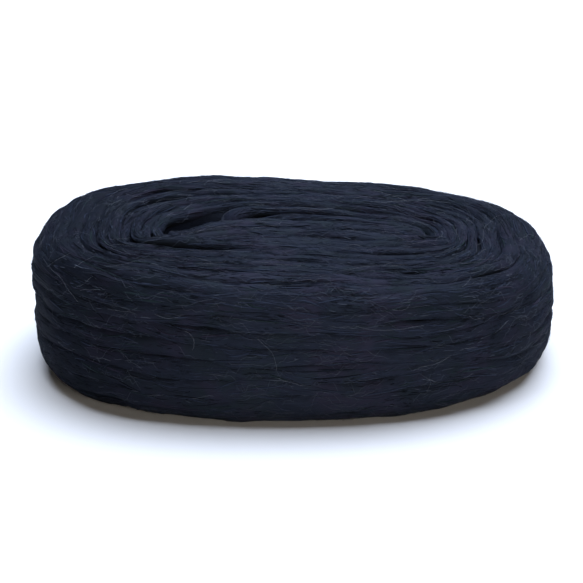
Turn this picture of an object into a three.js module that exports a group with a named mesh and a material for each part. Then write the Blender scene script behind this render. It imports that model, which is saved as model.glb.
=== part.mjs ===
// A plate of unspun wool yarn: one thick, soft roving wound round and round into a flat oval cake.
// Its turns climb the side, roll over the shoulder and run in to a collapsed eye left of the middle.
// Millimetres, +Z up. The origin is on the surface under the middle of the plate, with +X along its
// length and +Y towards its back.

import * as THREE from "three";
import { ParametricGeometry } from "three/addons/geometries/ParametricGeometry.js";
import { mergeVertices } from "three/addons/utils/BufferGeometryUtils.js";

// Overall sizes of the plate
const plateLength = 200; // along X
const plateDepth = 160; // along Y
const plateHeight = 52; // over the middle of the top
const outlineSquareness = 2.36; // exponent of the oval outline, where 2 is an ellipse
const outlineLean = 0.045; // the back half leans to +X by this share of its reach
const topFall = 0.048; // the top falls by this much per millimetre along +X
const topCrown = 2; // rise of the middle of the top over its rim

// The foot and the shoulder: how far in they reach, as a share of the way from the outline to the middle
// and to the eye
const footShare = 0.134;
const footRise = 14.2;
const shoulderShare = 0.42;
const shoulderDrop = 14.2;

// The eye: the closed slit that the innermost turns run round. Its ends bend forward, the left one most,
// and a hollow opens there.
const slitMiddle = 1.5; // X of its middle
const slitHalf = 47.5;
const slitBack = 3; // Y of its middle
const leftHook = 30; // how far its left end comes forward
const rightHook = 11;
const hookSquareness = 2.6; // exponent of the hooks: the higher, the straighter the slit's middle
const slitFade = 2; // exponent with which its own line dies out, towards the outline
const slitDepth = 2;
const slitReach = 0.02; // share of the way to the outline over which it dips
const hollowDepth = 10; // added at the left end
const hollowStart = -8; // X where the hollow begins
const hollowRun = 28; // length over which it deepens
const hollowReach = 0.065; // added to the slit's reach at the back of the hollow
const hollowTurn = 2.4; // how soon the reach changes from the front of the hollow to its back
const wallSteepness = 8; // exponent of the walls of both, where 2 is a soft dip
const nestForward = 8.5; // how far forward the turns between the eye and the outline lie
const nestSquareness = 4; // exponent of the innermost turns, which have blunter ends than the outline
const innerSpread = 0.75; // exponent that spreads the inner turns apart across the depth
const faceSpread = 1.15; // exponent that draws the turns of the top together towards the eye

// Turns of the roving in each stretch of the winding, from the edge of the resting face to the eye
const footTurns = 3;
const wallTurns = 4;
const shoulderTurns = 5;
const faceTurns = 8;
const allTurns = footTurns + wallTurns + shoulderTurns + faceTurns;

// The relief of the roving
const strandCrown = 0.7; // rise of a turn over the plate's mean surface
const strandVariety = 0.9; // by how much some stretches of the roving stand higher than others
const grooveDepth = 1.1; // mean depth of the groove between two turns
const grooveVariety = 0.55; // share by which the depth comes and goes along the roving
const fadeIn = 2; // turns over which the relief starts above the resting face
const lumpHeight = 0.7; // soft unevenness of the whole form

// The deep grooves: where each is deepest and half its length, in turns along the roving
const crevices = [
  { middle: 15.52, half: 0.22, depth: 3 }, // round the left of the eye
  { middle: 10.92, half: 0.12, depth: 1.5 }, // right rim of the top
  { middle: 11.55, half: 0.1, depth: 1.2 }, // left rim of the top
];

// The mesh follows the roving: each row of points climbs by one turn for each time round
const columns = 64;
const rowsPerTurn = 4;
const rows = 1 + (allTurns + 1) * rowsPerTurn;

const { clamp, lerp, smoothstep } = THREE.MathUtils;
const smooth = (value) => smoothstep(value, 0, 1);
const oval = (value, squareness) => Math.sign(value) * Math.abs(value) ** (2 / squareness);

// A point of the plan on one of the nested turns: share is 0 on the eye's slit and 1 on the outline.
function planPoint(share, angle) {
  const squareness = lerp(nestSquareness, outlineSquareness, share);
  const across = oval(Math.cos(angle), squareness);
  const deep = (plateDepth / 2) * oval(Math.sin(angle), squareness);
  const outlineX = (plateLength / 2) * across + outlineLean * deep;
  const slitX = slitMiddle + slitHalf * across;
  const slitY = slitBack - (across < 0 ? leftHook : rightHook) * Math.abs(across) ** hookSquareness;
  const middle = slitY * (1 - share) ** slitFade - nestForward * 4 * share * (1 - share);
  return { x: lerp(slitX, outlineX, share), y: middle + deep * share ** innerSpread, slitX, deep };
}

// Height of the top over a point of the plan, with the slit and the hollow of the eye sunk into it.
function topHeight({ x, slitX, deep }, share) {
  const hollow = smooth((hollowStart - slitX) / hollowRun);
  const behind = smooth(0.5 + (hollowTurn * deep) / plateDepth);
  const reach = slitReach + hollowReach * hollow * behind;
  const sunk = (slitDepth + hollowDepth * hollow) * Math.exp(-((share / reach) ** wallSteepness));
  return plateHeight - topFall * x + topCrown * (1 - share ** 2) - sunk;
}

// The plain wound form, where turn counts from 0 at the edge of the resting face up to the eye.
function formPoint(turn, angle) {
  const foot = clamp(turn / footTurns, 0, 1);
  const wall = clamp((turn - footTurns) / wallTurns, 0, 1);
  const shoulder = clamp((turn - footTurns - wallTurns) / shoulderTurns, 0, 1);
  const face = clamp((turn - allTurns + faceTurns) / faceTurns, 0, 1);
  if (shoulder > 0) {
    const bend = (shoulder * Math.PI) / 2;
    const rolled = 1 - shoulderShare * (1 - Math.cos(bend));
    const drawnIn = 1 - (1 - face) ** faceSpread;
    const share = rolled - (1 - shoulderShare) * drawnIn;
    const plan = planPoint(Math.max(share, 0), angle);
    return new THREE.Vector3(plan.x, plan.y, topHeight(plan, share) - shoulderDrop * (1 - Math.sin(bend)));
  }
  const bend = (foot * Math.PI) / 2;
  const outline = planPoint(1, angle);
  const size = 1 - footShare * (1 - Math.sin(bend));
  const wallTop = topHeight(outline, 1) - shoulderDrop;
  const height = footRise * (1 - Math.cos(bend)) + (wallTop - footRise) * wall;
  return new THREE.Vector3(outline.x * size, outline.y * size, height);
}

function formNormal(turn, angle) {
  const step = 0.02;
  const around = formPoint(turn, angle + step).sub(formPoint(turn, angle - step));
  const upward = formPoint(turn + step, angle).sub(formPoint(turn - step, angle));
  return around.cross(upward).normalize();
}

// The soft unevenness of the whole plate.
function lump(turn, angle) {
  const wide = Math.sin(3 * angle + 0.5 * turn + 1);
  const close = Math.sin(5 * angle - 0.9 * turn + 2.4);
  return lumpHeight * (0.6 * wide + 0.4 * close);
}

// Rise of the roving over the mean surface, at a place counted in turns along it.
function strandRise(along) {
  const variety = 0.6 * Math.sin(5.1 * along + 1) + 0.4 * Math.sin(11.7 * along + 0.3);
  return strandCrown + strandVariety * variety;
}

// Depth of the groove between two turns, counted in the same way.
function groove(along) {
  const variety = 0.6 * Math.sin(7.3 * along + 0.4) + 0.4 * Math.sin(17.9 * along + 2);
  let deep = grooveDepth * (1 + grooveVariety * variety);
  for (const { middle, half, depth } of crevices) {
    deep += depth * smooth(1.5 - Math.abs(along - middle) / half);
  }
  return deep;
}

// Relief of the turns: a rounded band between two narrow grooves.
function relief(turn, angle) {
  const around = angle / (2 * Math.PI);
  const nearest = Math.round(turn - around);
  const fromGroove = 2 * Math.abs(turn - around - nearest);
  const strand = strandRise(Math.floor(turn - around) + around) * Math.sin((fromGroove * Math.PI) / 2);
  const sunk = groove(nearest + around) * (1 - smooth(fromGroove * 2));
  const fade = smooth(turn / fadeIn) * smooth(allTurns - turn);
  return fade * (strand - sunk + lump(turn, angle));
}

// One point of the surface: the first row is the middle of the resting face.
function platePoint(around, upward, target) {
  const row = upward * rows;
  if (row < 0.5) {
    return target.set(0, 0, 0);
  }
  const angle = 2 * Math.PI * around;
  const turn = clamp((row - 1) / rowsPerTurn + around - 1, 0, allTurns);
  const point = formPoint(turn, angle);
  const height = relief(turn, angle);
  if (height !== 0) {
    point.addScaledVector(formNormal(turn, angle), height);
  }
  return target.set(point.x, point.y, Math.max(point.z, 0));
}

// Merges the points that coincide and drops the triangles that have closed up.
function welded(geometry) {
  geometry.deleteAttribute("normal");
  geometry.deleteAttribute("uv");
  const merged = mergeVertices(geometry, 1e-3);
  const corners = merged.index.array;
  const kept = [];
  for (let i = 0; i < corners.length; i += 3) {
    const [a, b, c] = corners.slice(i, i + 3);
    if (a !== b && b !== c && c !== a) {
      kept.push(a, b, c);
    }
  }
  merged.setIndex(kept);
  return merged;
}

// Sets the middle of the plate's box over the origin.
function centred(geometry) {
  geometry.computeBoundingBox();
  const middle = geometry.boundingBox.getCenter(new THREE.Vector3());
  geometry.translate(-middle.x, -middle.y, 0);
  geometry.computeVertexNormals();
  return geometry;
}

const navyWool = new THREE.MeshStandardMaterial({
  color: new THREE.Color(0.02, 0.027, 0.047),
  roughness: 0.95,
  metalness: 0,
});

const rovingPlate = new THREE.Mesh(
  centred(welded(new ParametricGeometry(platePoint, columns, rows))),
  navyWool,
);
rovingPlate.name = "roving_plate";

const plate = new THREE.Group();
plate.add(rovingPlate);

export default plate;
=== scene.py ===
import math

import bpy
import numpy as np
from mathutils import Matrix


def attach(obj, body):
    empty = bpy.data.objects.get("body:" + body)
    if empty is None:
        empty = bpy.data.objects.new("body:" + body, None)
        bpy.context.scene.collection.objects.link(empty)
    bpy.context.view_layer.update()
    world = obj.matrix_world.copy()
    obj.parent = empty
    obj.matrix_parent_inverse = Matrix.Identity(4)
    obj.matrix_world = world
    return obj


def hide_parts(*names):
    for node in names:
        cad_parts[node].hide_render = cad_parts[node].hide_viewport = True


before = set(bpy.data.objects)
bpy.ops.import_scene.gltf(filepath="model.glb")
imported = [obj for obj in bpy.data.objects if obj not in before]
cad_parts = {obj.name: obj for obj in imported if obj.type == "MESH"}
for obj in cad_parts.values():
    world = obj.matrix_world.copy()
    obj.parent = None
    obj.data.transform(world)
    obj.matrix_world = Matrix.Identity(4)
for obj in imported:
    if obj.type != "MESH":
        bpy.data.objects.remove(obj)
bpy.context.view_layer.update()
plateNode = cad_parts["roving_plate"]
mm = 0.001
fullTurn = 2 * math.pi

# the wound plate's form as in the CAD, in millimetres and in shares of the way from the outline to the eye;
# only the eye's slit is shallower, since the strands close it
plate = dict(length=200, depth=160, height=52, squareness=2.36, lean=0.045, fall=0.048, crown=2,
             footShare=0.134, footRise=14.2, shoulderShare=0.42, shoulderDrop=14.2)
eye = dict(middle=1.5, half=47.5, back=3, leftHook=30, rightHook=11, hookSquareness=2.6, fade=2,
           slitDepth=0.6, slitReach=0.02, hollowDepth=10, hollowStart=-8, hollowRun=28, hollowReach=0.065,
           hollowTurn=2.4, steepness=8, forward=8.5, squareness=4, innerSpread=0.75, faceSpread=1.15)
turns = dict(under=8, foot=3, wall=4, shoulder=5, face=8)
allTurns = turns["foot"] + turns["wall"] + turns["shoulder"] + turns["face"]


def oval(value, squareness):
    return np.sign(value) * np.abs(value) ** (2 / squareness)


def smooth(value):
    value = np.clip(value, 0, 1)
    return value * value * (3 - 2 * value)


def planSpot(share, angle):  # share 0 is the eye's slit, 1 the outline
    squareness = eye["squareness"] + (plate["squareness"] - eye["squareness"]) * share
    across = oval(np.cos(angle), squareness)
    deep = plate["depth"] / 2 * oval(np.sin(angle), squareness)
    rimX = plate["length"] / 2 * across + plate["lean"] * deep
    slitX = eye["middle"] + eye["half"] * across
    hook = np.where(across < 0, eye["leftHook"], eye["rightHook"])
    slitY = eye["back"] - hook * np.abs(across) ** eye["hookSquareness"]
    middle = slitY * (1 - share) ** eye["fade"] - eye["forward"] * 4 * share * (1 - share)
    return slitX + (rimX - slitX) * share, middle + deep * share ** eye["innerSpread"], slitX, deep


def topHeight(x, slitX, deep, share):
    hollow = smooth((eye["hollowStart"] - slitX) / eye["hollowRun"])
    behind = smooth(0.5 + eye["hollowTurn"] * deep / plate["depth"])
    reach = eye["slitReach"] + eye["hollowReach"] * hollow * behind
    sunk = (eye["slitDepth"] + eye["hollowDepth"] * hollow) * np.exp(-(share / reach) ** eye["steepness"])
    return plate["height"] - plate["fall"] * x + plate["crown"] * (1 - share ** 2) - sunk


def formSpot(turn, angle):  # turn 0 is the edge of the resting face, below it the roving runs in underneath
    under = np.clip(1 + turn / turns["under"], 0, 1)
    foot = np.clip(turn / turns["foot"], 0, 1) * math.pi / 2
    wall = np.clip((turn - turns["foot"]) / turns["wall"], 0, 1)
    bend = np.clip((turn - turns["foot"] - turns["wall"]) / turns["shoulder"], 0, 1) * math.pi / 2
    face = np.clip((turn - allTurns + turns["face"]) / turns["face"], 0, 1)
    size = (1 - plate["footShare"] * (1 - np.sin(foot))) * under
    rimX, rimY, rimSlit, rimDeep = planSpot(np.ones_like(angle), angle)
    wallTop = topHeight(rimX, rimSlit, rimDeep, 1) - plate["shoulderDrop"]
    lowZ = plate["footRise"] * (1 - np.cos(foot)) + (wallTop - plate["footRise"]) * wall
    low = np.stack([rimX * size, rimY * size, lowZ], -1)
    drawnIn = 1 - (1 - face) ** eye["faceSpread"]
    share = 1 - plate["shoulderShare"] * (1 - np.cos(bend)) - (1 - plate["shoulderShare"]) * drawnIn
    share = np.maximum(share, 0)
    x, y, slitX, deep = planSpot(share, angle)
    highZ = topHeight(x, slitX, deep, share) - plate["shoulderDrop"] * (1 - np.sin(bend))
    return np.where((bend > 0)[..., None], np.stack([x, y, highZ], -1), low)


def unit(vectors):
    return vectors / np.maximum(np.linalg.norm(vectors, axis=-1, keepdims=True), 1e-9)


def formNormal(turn, angle, step=0.02):
    around = formSpot(turn, angle + step) - formSpot(turn, angle - step)
    upward = formSpot(turn + step, angle) - formSpot(turn - step, angle)
    return unit(np.cross(around, upward))


def formPitch(turn, angle):  # from one groove to the next, in millimetres
    return np.linalg.norm(formSpot(turn + 0.5, angle) - formSpot(turn - 0.5, angle), axis=1)


def formRadius(turn, angle, step=0.05):  # along a turn, in millimetres for each radian
    return np.linalg.norm(formSpot(turn, angle + step) - formSpot(turn, angle - step), axis=1) / (2 * step)


def wander(place, shortest, longest, seed, waves=9, swing=0.7):  # smooth unevenness, about 1 either way
    rng = np.random.default_rng(seed)
    lengths = np.exp(rng.uniform(math.log(shortest), math.log(longest), waves))
    phases = rng.uniform(0, fullTurn, waves)
    place = np.asarray(place)[..., None]
    return np.sin(fullTurn * place / lengths + phases).sum(-1) * math.sqrt(2 / waves) * swing


# the roving: how wide and thick it lies, how its turns rise over the form and how uneven it is, in millimetres;
# waves are the shortest and longest of an unevenness, with its seed, and pinches a place, half a length and a
# share
roving = dict(spread=1.5, topSpread=0.98, topStart=2, topRun=3, spreadVariety=0.16, spreadWaves=(30, 150, 3),
              closing=0.25, closeTurns=2.2, closeRun=1.2, narrowest=1.9, widest=4.7, bendShare=0.9,
              flatness=0.42, thinnest=1.7, thickest=2.7, thickVariety=0.12, thickWaves=(12, 60, 5),
              crown=0.7, crownVariety=0.65, lump=0.7, fineRise=0.35, fineWaves=(20, 90, 7),
              sway=0.8, swayWaves=(60, 220, 11), endLength=12, endShare=0.04,
              pinches=((18.5, 0.05, 0.4), (19, 0.05, 0.4), (19.47, 0.12, 0.9)), pinchSoft=1.3, pinchSink=3)
# its sections: from which turn to which they run, how closely they follow, more so in bends, and how many of
# the innermost turns lie flat and bend softly
sections = dict(start=-0.3, end=allTurns - 0.06, step=1.74, sampled=3000, tightStep=9, tightest=0.25,
                underStart=0.8 - turns["under"], underEnd=0.2, underStep=2.4, turnLength=600,
                flatTurns=2.6, flatBlend=0.4, evenOver=9, lastNormal=allTurns - 0.1)
# soft lengthwise ridges where its fibres bunch
ridges = dict(heights=(0.16, 0.12, 0.07), counts=(3, 5, 8), runs=(95, -140, 60), drift=1.6,
              driftWaves=(40, 160), driftSeed=17, fade=0.3, fadeWaves=(25, 80), fadeSeed=29)
# gaps between two turns: the deep ones by where they lie and half their length, in turns, how far they open and
# how much higher the inner turn stands, in millimetres, and short ones that come and go all over
gaps = dict(deep=((15.52, 0.2, 2.4, 2.2), (18.39, 0.1, 1.6, 0), (10.92, 0.12, 0.2, 0.8)),
            waves=(0.05, 0.4, 41), start=0.3, run=1.3, opening=-0.25)


def near(along, middle, half, soft=1.5):  # 1 about a place on the roving, 0 away from it
    return smooth(soft - np.abs(along - middle) / half)


def strandRise(along, turn, angle):  # as the turns of the CAD rise
    variety = 0.6 * np.sin(5.1 * along + 1) + 0.4 * np.sin(11.7 * along + 0.3)
    lump = 0.6 * np.sin(3 * angle + 0.5 * turn + 1) + 0.4 * np.sin(5 * angle - 0.9 * turn + 2.4)
    return roving["crown"] + roving["crownVariety"] * variety + roving["lump"] * lump


def edgeReach(along, half, spread):  # how far a strand reaches towards the groove at this place
    share = smooth((wander(along, *gaps["waves"]) - gaps["start"]) / gaps["run"])
    reach = half * spread + np.minimum(half * (1 - spread) - gaps["opening"] / 2, 0) * share
    for middle, length, opening, step in gaps["deep"]:
        opened = (half * (1 - spread) - opening / 2) * near(along, middle, length)
        reach = np.minimum(reach, half * spread + opened)
    return reach


def gapStep(along):  # the turn inside a deep gap stands up, the one outside it lies low
    total = 0
    for middle, length, opening, step in gaps["deep"]:
        total = total + step / 2 * (near(along, middle, length) - near(along + 1, middle, length))
    return total


def evened(rows, reach):  # each row drawn towards its neighbours
    weights = np.hanning(2 * reach + 3)[1:-1]
    padded = np.pad(rows, ((reach, reach), (0, 0)), mode="edge")
    return np.stack([np.convolve(padded[:, i], weights / weights.sum(), mode="valid") for i in range(3)], -1)


def spaceSections(first, last, step):  # where the sections come, in turns and in millimetres along the roving
    fine = np.linspace(first, last, int((last - first) * sections["sampled"]))
    moves = np.diff(formSpot(fine + 0.5, fullTurn * fine), axis=0)
    stretch = np.linalg.norm(moves, axis=1)
    bend = np.linalg.norm(np.diff(unit(moves), axis=0), axis=1) / np.maximum(stretch[1:], 1e-3)
    tight = np.minimum(np.append(bend, 0), sections["tightest"])
    count = np.concatenate([[0], np.cumsum(stretch * (1 + sections["tightStep"] * tight) / step)])
    along = np.interp(np.linspace(0, count[-1], int(count[-1])), count, fine)
    run = np.interp(along, fine, np.concatenate([[0], np.cumsum(stretch)]))
    return along, run + sections["turnLength"] * first


def layRoving(first, last, step):  # places and sizes of the roving's sections between two turns
    along, run = spaceSections(first, last, step)
    turn = along + 0.5
    angle = fullTurn * along
    flat = smooth((turn - allTurns + sections["flatTurns"]) / sections["flatBlend"])[:, None]
    spot = formSpot(turn, angle)
    spot = spot * (1 - flat) + evened(spot, sections["evenOver"]) * flat
    upright = unit(np.array([plate["fall"], 0, 1]))
    normal = unit(formNormal(np.minimum(turn, sections["lastNormal"]), angle) * (1 - flat) + upright * flat)
    forward = unit(np.gradient(spot, axis=0))
    side = unit(np.cross(normal, forward))
    normal = np.cross(forward, side)

    pitch = formPitch(turn, angle)
    onTop = smooth((turn - turns["foot"] - turns["wall"] - roving["topStart"]) / roving["topRun"])
    spread = roving["spread"] + (roving["topSpread"] - roving["spread"]) * onTop
    spread = spread + roving["spreadVariety"] * wander(run, *roving["spreadWaves"])
    closed = smooth((along - allTurns + roving["closeTurns"]) / roving["closeRun"])
    spread = spread + roving["closing"] * closed  # the last turns close the eye's slit
    outer, inner = edgeReach(along, pitch / 2, spread), edgeReach(along + 1, pitch / 2, spread)
    radius = 1 / np.maximum(np.linalg.norm(np.gradient(forward, axis=0), axis=1) / np.gradient(run), 1e-4)
    inner = np.minimum(inner, roving["bendShare"] * radius)  # no fold on the inside of a tight bend
    widest = np.where(turn > allTurns - turns["face"], roving["widest"], np.inf)
    wide = np.clip((outer + inner) / 2, roving["narrowest"], widest)
    thick = np.clip(roving["flatness"] * pitch, roving["thinnest"], roving["thickest"])
    thick = thick * (1 + roving["thickVariety"] * wander(run, *roving["thickWaves"]))

    rise = strandRise(along, turn, angle) + gapStep(along)
    rise = rise + roving["fineRise"] * wander(run, *roving["fineWaves"])
    sway = roving["sway"] * wander(run, *roving["swayWaves"]) + (inner - outer) / 2
    ends = np.minimum(run - run[0], run[-1] - run) / roving["endLength"]
    ends = np.clip(ends, roving["endShare"], 1) ** 0.5  # the two ends draw out thin
    for place, length, share in roving["pinches"]:  # and so do the hairpins at the eye
        pinch = share * near(along, place, length, roving["pinchSoft"])
        ends = ends * (1 - pinch)
        rise = rise - roving["pinchSink"] * pinch
    middle = spot + side * sway[:, None] + normal * (rise - thick)[:, None]
    return dict(along=along, run=run, middle=middle, side=side, normal=normal,
                wide=wide * ends, thick=thick * ends)


def ridgeRise(run, phi):
    total = 0
    for height, number, length in zip(ridges["heights"], ridges["counts"], ridges["runs"]):
        drift = ridges["drift"] * wander(run, *ridges["driftWaves"], ridges["driftSeed"] + number)
        fade = ridges["fade"] * wander(run, *ridges["fadeWaves"], ridges["fadeSeed"] + number)
        swell = 1 - ridges["fade"] + fade
        total = total + height * swell * np.sin(number * phi + fullTurn * run / length + drift)
    return total


def onRoving(laid, run, phi, lift):  # spots on the roving's skin, with the way out of it
    def at(key):
        values = laid[key]
        if values.ndim == 1:
            return np.interp(run, laid["run"], values)
        return np.stack([np.interp(run, laid["run"], values[:, i]) for i in range(3)], -1)
    wide, thick = at("wide"), at("thick")
    side, normal = at("side"), at("normal")
    out = unit(side * (np.cos(phi) * thick)[..., None] + normal * (np.sin(phi) * wide)[..., None])
    skin = at("middle") + side * (np.cos(phi) * wide)[..., None] + normal * (np.sin(phi) * thick)[..., None]
    return skin + out * (lift + ridgeRise(run, phi))[..., None], out


def deselectAll():
    if bpy.context.object and bpy.context.object.mode != "OBJECT":
        bpy.ops.object.mode_set(mode="OBJECT")
    bpy.ops.object.select_all(action="DESELECT")


def makeActive(piece):
    deselectAll()
    piece.select_set(True)
    bpy.context.view_layer.objects.active = piece


class Port:  # one shader socket, so that sums on it read as sums
    def __init__(self, tree, socket):
        self.tree = tree
        self.socket = socket

    def sum(self, operation, first, second):
        return node(self.tree, "Math", dict(operation=operation), {0: first, 1: second})

    def __add__(self, other):
        return self.sum("ADD", self, other)

    def __mul__(self, other):
        return self.sum("MULTIPLY", self, other)

    __radd__ = __add__
    __rmul__ = __mul__


def node(tree, kind, settings, sockets, result=0):
    made = tree.nodes.new("ShaderNode" + kind)
    stops = settings.pop("stops", None)
    for key, value in settings.items():
        setattr(made, key, value)
    if stops:
        for element, (place, value) in zip(made.color_ramp.elements, stops):
            element.position = place
            element.color = (value, value, value, 1)
    for key, value in sockets.items():
        if isinstance(value, Port):
            tree.links.new(value.socket, made.inputs[key])
        else:
            made.inputs[key].default_value = value
    return Port(tree, made.outputs[result])


def mixColours(tree, factor, first, second):
    return node(tree, "Mix", dict(data_type="RGBA", blend_type="MIX"), {0: factor, 6: first, 7: second}, 2)


def newFinish(name):
    finish = bpy.data.materials.new(name)
    finish.use_nodes = True
    return finish, finish.node_tree, finish.node_tree.nodes["Principled BSDF"]


# dyed wool: linear colours, and how the light takes it; deep and shade also serve as painted shade, on the
# plate's darkened ends and on the darker body inside
wool = dict(deep=(0.0035, 0.0042, 0.0068, 1), shade=(0.0070, 0.0080, 0.0120, 1),
            ink=(0.0093, 0.0113, 0.0180, 1), navy=(0.0193, 0.0240, 0.0387, 1),
            plum=(0.0207, 0.0200, 0.0347, 1), slate=(0.0153, 0.0213, 0.0280, 1),
            roughness=0.5, gloss=0.015, glossTint=(0.6, 0.78, 1.0, 1), drawn=0.9,
            sheen=0.02, sheenRoughness=0.45, sheenTint=(0.55, 0.68, 1.0, 1))
# the roving's own streaks and hairs, drawn out along it, patches of two casts, and painted shade that darkens
# it towards the plate's two ends
grain = dict(streak=dict(stretch=(0.1, 1.1, 1), detail=3.0, distortion=0.5),
             hair=dict(stretch=(0.32, 3.2, 1), detail=2.0, distortion=0.8), roughness=0.6, hairShare=0.45,
             lightStops=((0.32, 0.0), (0.68, 1.0)), bump=0.6, bumpDepth=0.0006, turnShift=3.7,
             purpleScale=70.0, purpleDetail=3.0, purpleStops=((0.47, 0.0), (0.62, 0.75)),
             greenScale=110.0, greenDetail=2.0, greenStops=((0.49, 0.0), (0.64, 0.75)),
             leftEndShade=-7.5, rightEndShade=5, shadePatches=0.5, shadeShift=0.05, endShadeStops=((0.4, 0.0), (0.9, 0.65)))


def woolSurface(shader):  # the gloss is drawn out across the fibres, which run round the plate
    shader.inputs["Roughness"].default_value = wool["roughness"]
    shader.inputs["Specular IOR Level"].default_value = wool["gloss"]
    shader.inputs["Specular Tint"].default_value = wool["glossTint"]
    shader.inputs["Anisotropic"].default_value = wool["drawn"]
    shader.inputs["Sheen Weight"].default_value = wool["sheen"]
    shader.inputs["Sheen Roughness"].default_value = wool["sheenRoughness"]
    shader.inputs["Sheen Tint"].default_value = wool["sheenTint"]


def drawnNoise(tree, lay, kind):
    place = node(tree, "VectorMath", dict(operation="MULTIPLY"), {0: lay, 1: kind["stretch"]})
    return node(tree, "TexNoise", {}, {"Vector": place, "Scale": 1.0, "Detail": kind["detail"],
                                       "Roughness": grain["roughness"], "Distortion": kind["distortion"]})


def patchNoise(tree, spot, cast):
    return node(tree, "TexNoise", {}, {"Vector": spot, "Scale": grain[cast + "Scale"],
                                       "Detail": grain[cast + "Detail"]})


def ramp(tree, value, stops):
    return node(tree, "ValToRGB", dict(stops=grain[stops]), {0: value})


def rovingFinish(name, dark, light, purplish, greenish):
    finish, tree, shader = newFinish(name)
    lay = node(tree, "Attribute", dict(attribute_name="lay"), {}, 1)  # along, across and turn, in millimetres
    spot = node(tree, "TexCoord", {}, {}, 3)
    streaks = drawnNoise(tree, lay, grain["streak"])
    hairs = drawnNoise(tree, lay, grain["hair"])
    fibre = streaks * (1 - grain["hairShare"]) + hairs * grain["hairShare"]
    purple = patchNoise(tree, spot, "purple")
    green = patchNoise(tree, spot, "green")
    base = mixColours(tree, ramp(tree, fibre, "lightStops"), wool[dark], wool[light])
    base = mixColours(tree, ramp(tree, purple, "purpleStops"), base, wool[purplish])
    base = mixColours(tree, ramp(tree, green, "greenStops"), base, wool[greenish])
    # painted shade: the wool darkens towards the plate's two ends, broken up by the green patches
    across = node(tree, "SeparateXYZ", {}, {0: spot})
    end = across.sum("MAXIMUM", across * grain["leftEndShade"], across * grain["rightEndShade"])
    end = green * grain["shadePatches"] + end + grain["shadeShift"]
    base = mixColours(tree, ramp(tree, end, "endShadeStops"), base, wool["deep"])
    tree.links.new(base.socket, shader.inputs["Base Color"])
    bump = node(tree, "Bump", {}, {"Strength": grain["bump"], "Distance": grain["bumpDepth"],
                                   "Height": fibre})
    tree.links.new(bump.socket, shader.inputs["Normal"])
    woolSurface(shader)
    return finish


def plainWool(name, colour):
    finish, tree, shader = newFinish(name)
    woolSurface(shader)
    shader.inputs["Base Color"].default_value = colour
    return finish


navyRoving = rovingFinish("navyRoving", "ink", "navy", "plum", "slate")
# the darker tones on the body inside are painted shade in the gaps and the eye's pit
shadedInnerRoving = rovingFinish("shadedInnerRoving", "deep", "ink", "shade", "shade")
print("wool finishes made")


def settle(piece, finish):
    piece.data.materials.clear()
    piece.data.materials.append(finish)
    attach(piece, "root")
    return piece


# the wound body inside, which closes the plate behind the gaps between its turns; its darker wool is painted
# shade where it shows through the gaps and in the eye's pit
core = dict(sunk=0.0018, softness=0.5, soften=3)


def makeCore():
    makeActive(plateNode)
    bpy.ops.object.duplicate()
    body = bpy.context.object
    body.name = "woundBody"
    for key in [k for k in body.keys() if k.startswith("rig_")]:
        del body[key]
    body.parent = None
    bpy.ops.object.mode_set(mode="EDIT")
    bpy.ops.mesh.select_all(action="SELECT")
    bpy.ops.mesh.remove_doubles(threshold=1e-6)
    bpy.ops.transform.shrink_fatten(value=-core["sunk"])
    bpy.ops.mesh.vertices_smooth(factor=core["softness"], repeat=core["soften"])
    bpy.ops.object.mode_set(mode="OBJECT")
    bpy.ops.object.shade_smooth()
    corners = np.empty(len(body.data.vertices) * 3, np.float32)
    body.data.vertices.foreach_get("co", corners)
    lay = body.data.attributes.new("lay", "FLOAT_VECTOR", "POINT")
    lay.data.foreach_set("vector", (corners.reshape(-1, 3)[:, [0, 2, 1]] / mm).ravel())
    return settle(body, shadedInnerRoving)


makeCore()
print("wound body inside made")

# the strand's section, in degrees round it: many points outward, few inward, and even ones on the underside
strand = dict(outward=(-20, 200, 13), inward=(235, 270, 305), underSides=12)


# a length of roving: a flat grid strip, rolled into a flattened strand and wound along its route
def windStrand(name, laid, phis):
    count, sides = len(laid["run"]), len(phis)
    deselectAll()
    bpy.ops.mesh.primitive_grid_add(x_subdivisions=count - 1, y_subdivisions=sides, size=1, calc_uvs=True)
    piece = bpy.context.object
    piece.name = name
    mesh = piece.data
    mesh.name = name
    corners = np.empty(len(mesh.vertices) * 3, np.float32)
    mesh.vertices.foreach_get("co", corners)
    corners = corners.reshape(-1, 3)
    row = np.rint((corners[:, 0] + 0.5) * (count - 1)).astype(int)
    column = np.rint((corners[:, 1] + 0.5) * sides).astype(int)
    run = laid["run"][row]
    phi = np.append(phis, phis[0] + fullTurn)[column]
    skin, out = onRoving(laid, run, phi, 0)
    skin[:, 2] = np.maximum(skin[:, 2], 0)
    mesh.vertices.foreach_set("co", (skin * mm).astype(np.float32).ravel())
    girth = laid["wide"].mean() + laid["thick"].mean()
    lay = np.stack([run, phi * girth / 2, np.floor(laid["along"][row]) * grain["turnShift"]], -1)
    attribute = mesh.attributes.new("lay", "FLOAT_VECTOR", "POINT")
    attribute.data.foreach_set("vector", lay.astype(np.float32).ravel())
    bpy.ops.object.mode_set(mode="EDIT")
    bpy.ops.mesh.select_all(action="SELECT")
    bpy.ops.mesh.remove_doubles(threshold=1e-6)
    bpy.ops.mesh.fill_holes(sides=0)
    bpy.ops.mesh.select_all(action="SELECT")
    bpy.ops.mesh.normals_make_consistent(inside=False)
    bpy.ops.object.mode_set(mode="OBJECT")
    bpy.ops.object.shade_smooth()
    return settle(piece, navyRoving)


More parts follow.
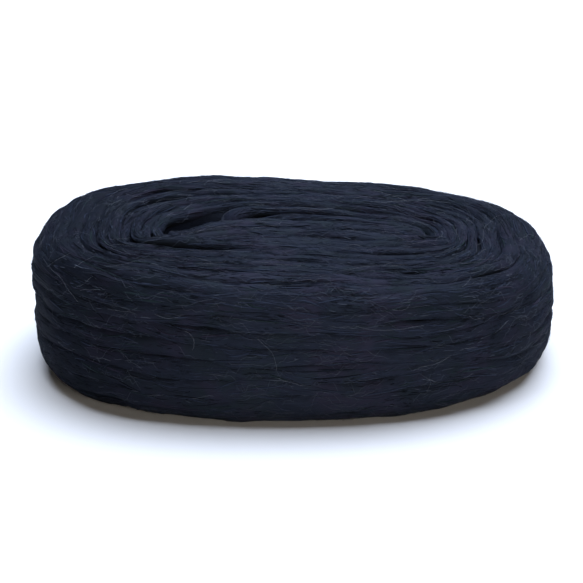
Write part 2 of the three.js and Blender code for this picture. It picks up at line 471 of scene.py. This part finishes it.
upperRoving = layRoving(sections["start"], sections["end"], sections["step"])
underRoving = layRoving(sections["underStart"], sections["underEnd"], sections["underStep"])
upperPhis = np.radians(np.concatenate([np.linspace(*strand["outward"]), strand["inward"]]))
underPhis = np.radians(270 + np.arange(strand["underSides"]) * 360 / strand["underSides"])
woundTurns = windStrand("woundTurns", upperRoving, upperPhis)
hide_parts("roving_plate")
windStrand("underTurns", underRoving, underPhis)
print("roving wound:", len(upperRoving["run"]), "sections over", round(upperRoving["run"][-1] / 1000, 1), "m")


# many thin tapering tubes joined in one mesh, each closed to a point at both ends
def thinTubes(name, path, out, wide, thick, sides):
    many, points = path.shape[:2]
    forward = unit(np.gradient(path, axis=1))
    side = unit(np.cross(out, forward))
    up = np.cross(forward, side)
    ring = np.arange(sides) * fullTurn / sides
    rings = (path[:, 1:-1, None] + side[:, 1:-1, None] * (wide[:, 1:-1, None] * np.cos(ring))[..., None]
             + up[:, 1:-1, None] * (thick[:, 1:-1, None] * np.sin(ring))[..., None])
    spots = np.concatenate([path[:, :1], rings.reshape(many, -1, 3), path[:, -1:]], 1)
    each = spots.shape[1]
    j = np.arange(sides)
    k = (j + 1) % sides
    faces = [np.stack([np.zeros_like(j), 1 + k, 1 + j], 1)]
    for i in range(points - 3):
        low, high = 1 + i * sides, 1 + (i + 1) * sides
        faces += [np.stack([low + j, low + k, high + k], 1), np.stack([low + j, high + k, high + j], 1)]
    last = 1 + (points - 3) * sides
    faces.append(np.stack([last + j, last + k, np.full_like(j, each - 1)], 1))
    faces = np.concatenate(faces)
    corners = (faces[None] + np.arange(many)[:, None, None] * each).reshape(-1).astype(np.int32)
    spots[..., 2] = np.maximum(spots[..., 2], 0)
    mesh = bpy.data.meshes.new(name)
    mesh.vertices.add(many * each)
    mesh.vertices.foreach_set("co", (spots * mm).astype(np.float32).ravel())
    mesh.loops.add(len(corners))
    mesh.loops.foreach_set("vertex_index", corners)
    mesh.polygons.add(len(corners) // 3)
    mesh.polygons.foreach_set("loop_start", np.arange(0, len(corners), 3, dtype=np.int32))
    mesh.update(calc_edges=True)
    mesh.validate()
    piece = bpy.data.objects.new(name, mesh)
    bpy.context.scene.collection.objects.link(piece)
    makeActive(piece)
    bpy.ops.object.shade_smooth()
    return piece


# each tone of fibre keeps to stretches of its own, the darker tones more to the plate's ends and the lighter
# ones away from them, as painted shade on the ends
patches = dict(waves=(25, 110), shadedEndPull=3.4, rightShare=0.6, chance=0.3)


def chooseStarts(rng, count, margin, towardShadedEnds, seed):
    start = rng.uniform(upperRoving["run"][0] + margin, upperRoving["run"][-1] - margin, 2 * count)
    across = np.interp(start, upperRoving["run"], upperRoving["middle"][:, 0] / plate["length"])
    # the darker tones gather at the plate's ends as painted shade, and the lighter ones keep away
    end = np.maximum(-across, patches["rightShare"] * across)
    liking = wander(start, *patches["waves"], seed) + patches["shadedEndPull"] * towardShadedEnds * end
    liking = liking + rng.normal(0, patches["chance"], 2 * count)
    return start[np.argsort(liking)[-count:]]


def strew(kind, rng, count, seed, towardShadedEnds):  # how far along the roving each fibre runs, and how far round it
    t = np.linspace(-0.5, 0.5, kind["points"])
    length = kind["length"] * np.exp(rng.normal(0, kind["lengthVariety"], count))
    start = chooseStarts(rng, count, kind["margin"], towardShadedEnds, seed)
    phi = np.radians(rng.uniform(*kind["phi"], count))
    slant = np.radians(rng.normal(0, kind["slant"], count))
    curl = np.radians(rng.normal(0, kind["slant"] * kind["curl"], count))
    run = start[:, None] + length[:, None] * t
    return t, run, phi[:, None] + slant[:, None] * t * 2 + curl[:, None] * (4 * t ** 2 - 0.5)


# bunches of fibres that lie along the roving, in the tones of the dyed wool: long slivers half sunk in it, and
# short flecks on it; each tone has its name, colour, count, seed and pull towards the ends, where darker tones
# paint shade
bunch = dict(lengthVariety=0.45, margin=30, phi=(8, 172), curl=0.8, widthVariety=0.35, bluntness=0.6,
             rest=0.4, level=0.7)
slivers = dict(bunch, points=6, length=12, width=0.2, flatness=0.5, slant=12, lift=0.03, swell=0.12, sides=4,
               tones=(("inkSlivers", (0.0080, 0.0098, 0.0150, 1), 1700, 101, 1.2),
                      ("navySlivers", (0.0160, 0.0200, 0.0327, 1), 1200, 102, -0.6),
                      ("blueSlivers", (0.0215, 0.0275, 0.0465, 1), 1000, 103, -1.2),
                      ("plumSlivers", (0.0200, 0.0188, 0.0315, 1), 700, 104, 0.2),
                      ("slateSlivers", (0.0125, 0.0200, 0.0235, 1), 600, 105, 0.4)))
flecks = dict(bunch, points=4, length=3.6, width=0.1, flatness=0.6, slant=5, lift=0.04, swell=0.2, sides=3,
              tones=(("darkFlecks", (0.0035, 0.0042, 0.0065, 1), 9000, 111, 0.7),
                     ("blueFlecks", (0.0290, 0.0370, 0.0600, 1), 5500, 112, -0.9),
                     ("paleFlecks", (0.0520, 0.0610, 0.0830, 1), 2500, 113, -0.3)))


def laySlivers(kind, name, colour, count, seed, towardShadedEnds):
    rng = np.random.default_rng(seed)
    t, run, phi = strew(kind, rng, count, seed, towardShadedEnds)
    width = kind["width"] * np.exp(rng.normal(0, kind["widthVariety"], count))
    belly = np.cos(math.pi * t) ** kind["bluntness"]
    lift = kind["lift"] * rng.normal(kind["rest"], 1, count)[:, None]
    lift = lift + kind["swell"] * (belly - kind["level"])
    path, out = onRoving(upperRoving, run, phi, lift)
    wide = width[:, None] * belly
    piece = thinTubes(name, path, out, wide, wide * kind["flatness"], kind["sides"])
    settle(piece, plainWool(name + "Wool", colour))


for kind in (slivers, flecks):
    for tone in kind["tones"]:
        laySlivers(kind, *tone)
print("slivers and flecks laid")

# single fibres over the turns
fibres = dict(points=8, length=8, lengthVariety=0.4, margin=40, phi=(0, 180), slant=30, curl=0.6, crimp=9,
              width=0.04, rest=0.1, lift=0.14, sides=3,
              tones=(("navyFibres", (0.0227, 0.0293, 0.0480, 1), 5000, 201, -1.2),
                     ("greyFibres", (0.0800, 0.0910, 0.1180, 1), 2200, 202, -0.6)))


def layFibres(name, colour, count, seed, towardShadedEnds):
    rng = np.random.default_rng(seed)
    t, run, phi = strew(fibres, rng, count, seed, towardShadedEnds)
    phi = phi + np.radians(rng.normal(0, fibres["crimp"], phi.shape))
    lift = fibres["rest"] + np.abs(rng.normal(0, fibres["lift"], phi.shape))
    path, out = onRoving(upperRoving, run, phi, lift)
    wide = np.full(phi.shape, fibres["width"])
    piece = thinTubes(name, path, out, wide, wide, fibres["sides"])
    settle(piece, plainWool(name + "Wool", colour))


for tone in fibres["tones"]:
    layFibres(*tone)
print("fibres laid")

# pale hairs that stand out from the turns, each wandering off along them
strays = dict(count=160, points=16, length=9, lengthVariety=0.45, width=0.019, sides=3, rest=1.5, height=0.4,
              heading=0.35, bend=0.7, crimp=0.15, lowest=2, highest=allTurns - 1, reach=(0.5, allTurns - 0.6),
              leastPitch=3, leastRadius=15, colour=(0.25, 0.27, 0.32, 1), seed=301)


def layStrays():
    rng = np.random.default_rng(strays["seed"])
    count, points = strays["count"], strays["points"]
    turn = rng.uniform(strays["lowest"], strays["highest"], count)
    angle = rng.uniform(0, fullTurn, count)
    perTurn = np.maximum(formPitch(turn, angle), strays["leastPitch"])[:, None]
    perRadian = np.maximum(formRadius(turn, angle), strays["leastRadius"])[:, None]
    step = strays["length"] * np.exp(rng.normal(0, strays["lengthVariety"], count))[:, None] / (points - 1)
    bend = rng.normal(0, strays["bend"], count)[:, None] / points
    bend = bend + rng.normal(0, strays["crimp"], (count, points))
    heading = rng.normal(0, strays["heading"], count)[:, None] + np.cumsum(bend, 1)
    turnPath = np.clip(turn[:, None] + np.cumsum(np.sin(heading) * step, 1) / perTurn, *strays["reach"])
    anglePath = angle[:, None] + np.cumsum(np.cos(heading) * step, 1) / perRadian
    out = formNormal(turnPath, anglePath)
    arch = np.sin(math.pi * np.linspace(0, 1, points))
    height = strays["rest"] + np.abs(rng.normal(0, strays["height"], count))[:, None] * arch
    path = formSpot(turnPath, anglePath) + out * height[..., None]
    wide = np.full((count, points), strays["width"])
    piece = thinTubes("strayHairs", path, out, wide, wide, strays["sides"])
    settle(piece, plainWool("paleHair", strays["colour"]))


layStrays()
print("stray hairs laid")

# a wide pale floor, a broad soft light from above and behind, and a low warm one from the front right
studio = dict(floor=8, floorColour=(0.78, 0.78, 0.79, 1), floorRoughness=0.9,
              world=0.02, worldColour=(1, 1, 1, 1),
              sky=dict(height=2, tilt=(-20, 9), strength=5.9, disc=65, colour=(0.89, 0.98, 1.14)),
              fill=dict(place=(0.5, -1.4, 0.34), power=8, size=0.9, colour=(1.12, 1.0, 0.84)))


def makeStudio():
    deselectAll()
    bpy.ops.mesh.primitive_plane_add(size=studio["floor"])
    floor = bpy.context.object
    floor.name = "paleFloor"
    finish, tree, shader = newFinish("palePaper")
    shader.inputs["Base Color"].default_value = studio["floorColour"]
    shader.inputs["Roughness"].default_value = studio["floorRoughness"]
    floor.data.materials.append(finish)
    sky, fill = studio["sky"], studio["fill"]
    tilt = [math.radians(t) for t in sky["tilt"]]
    bpy.ops.object.light_add(type="SUN", location=(0, 0, sky["height"]), rotation=(tilt[0], tilt[1], 0))
    overhead = bpy.context.object
    overhead.name = "overheadLight"
    overhead.data.angle = math.radians(sky["disc"])
    overhead.data.energy = sky["strength"]
    overhead.data.color = sky["colour"]
    x, y, z = fill["place"]
    lean = math.atan2(math.hypot(x, y), z)
    heading = math.atan2(y, x) + math.pi / 2
    bpy.ops.object.light_add(type="AREA", location=(x, y, z), rotation=(lean, 0, heading))
    front = bpy.context.object
    front.name = "frontFill"
    front.data.size = fill["size"]
    front.data.energy = fill["power"]
    front.data.color = fill["colour"]
    world = bpy.data.worlds.new("softRoom")
    world.use_nodes = True
    world.node_tree.nodes["Background"].inputs["Color"].default_value = studio["worldColour"]
    world.node_tree.nodes["Background"].inputs["Strength"].default_value = studio["world"]
    bpy.context.scene.world = world
    bpy.context.scene.view_settings.view_transform = "Standard"


makeStudio()

# the photograph's view: aim, distance, height of view in degrees and lens
view = dict(aim=(-0.0016, 0, 0.0238), distance=0.8, elevation=19.85, lens=125.5, sensor=36, nearest=0.01)


def makeCamera():
    lift = math.radians(view["elevation"])
    x, y, z = view["aim"]
    place = (x, y - view["distance"] * math.cos(lift), z + view["distance"] * math.sin(lift))
    bpy.ops.object.camera_add(location=place, rotation=(math.pi / 2 - lift, 0, 0))
    camera = bpy.context.object
    camera.name = "photoView"
    camera.data.lens = view["lens"]
    camera.data.sensor_width = view["sensor"]
    camera.data.clip_start = view["nearest"]
    bpy.context.scene.camera = camera


makeCamera()
print("studio and camera set")
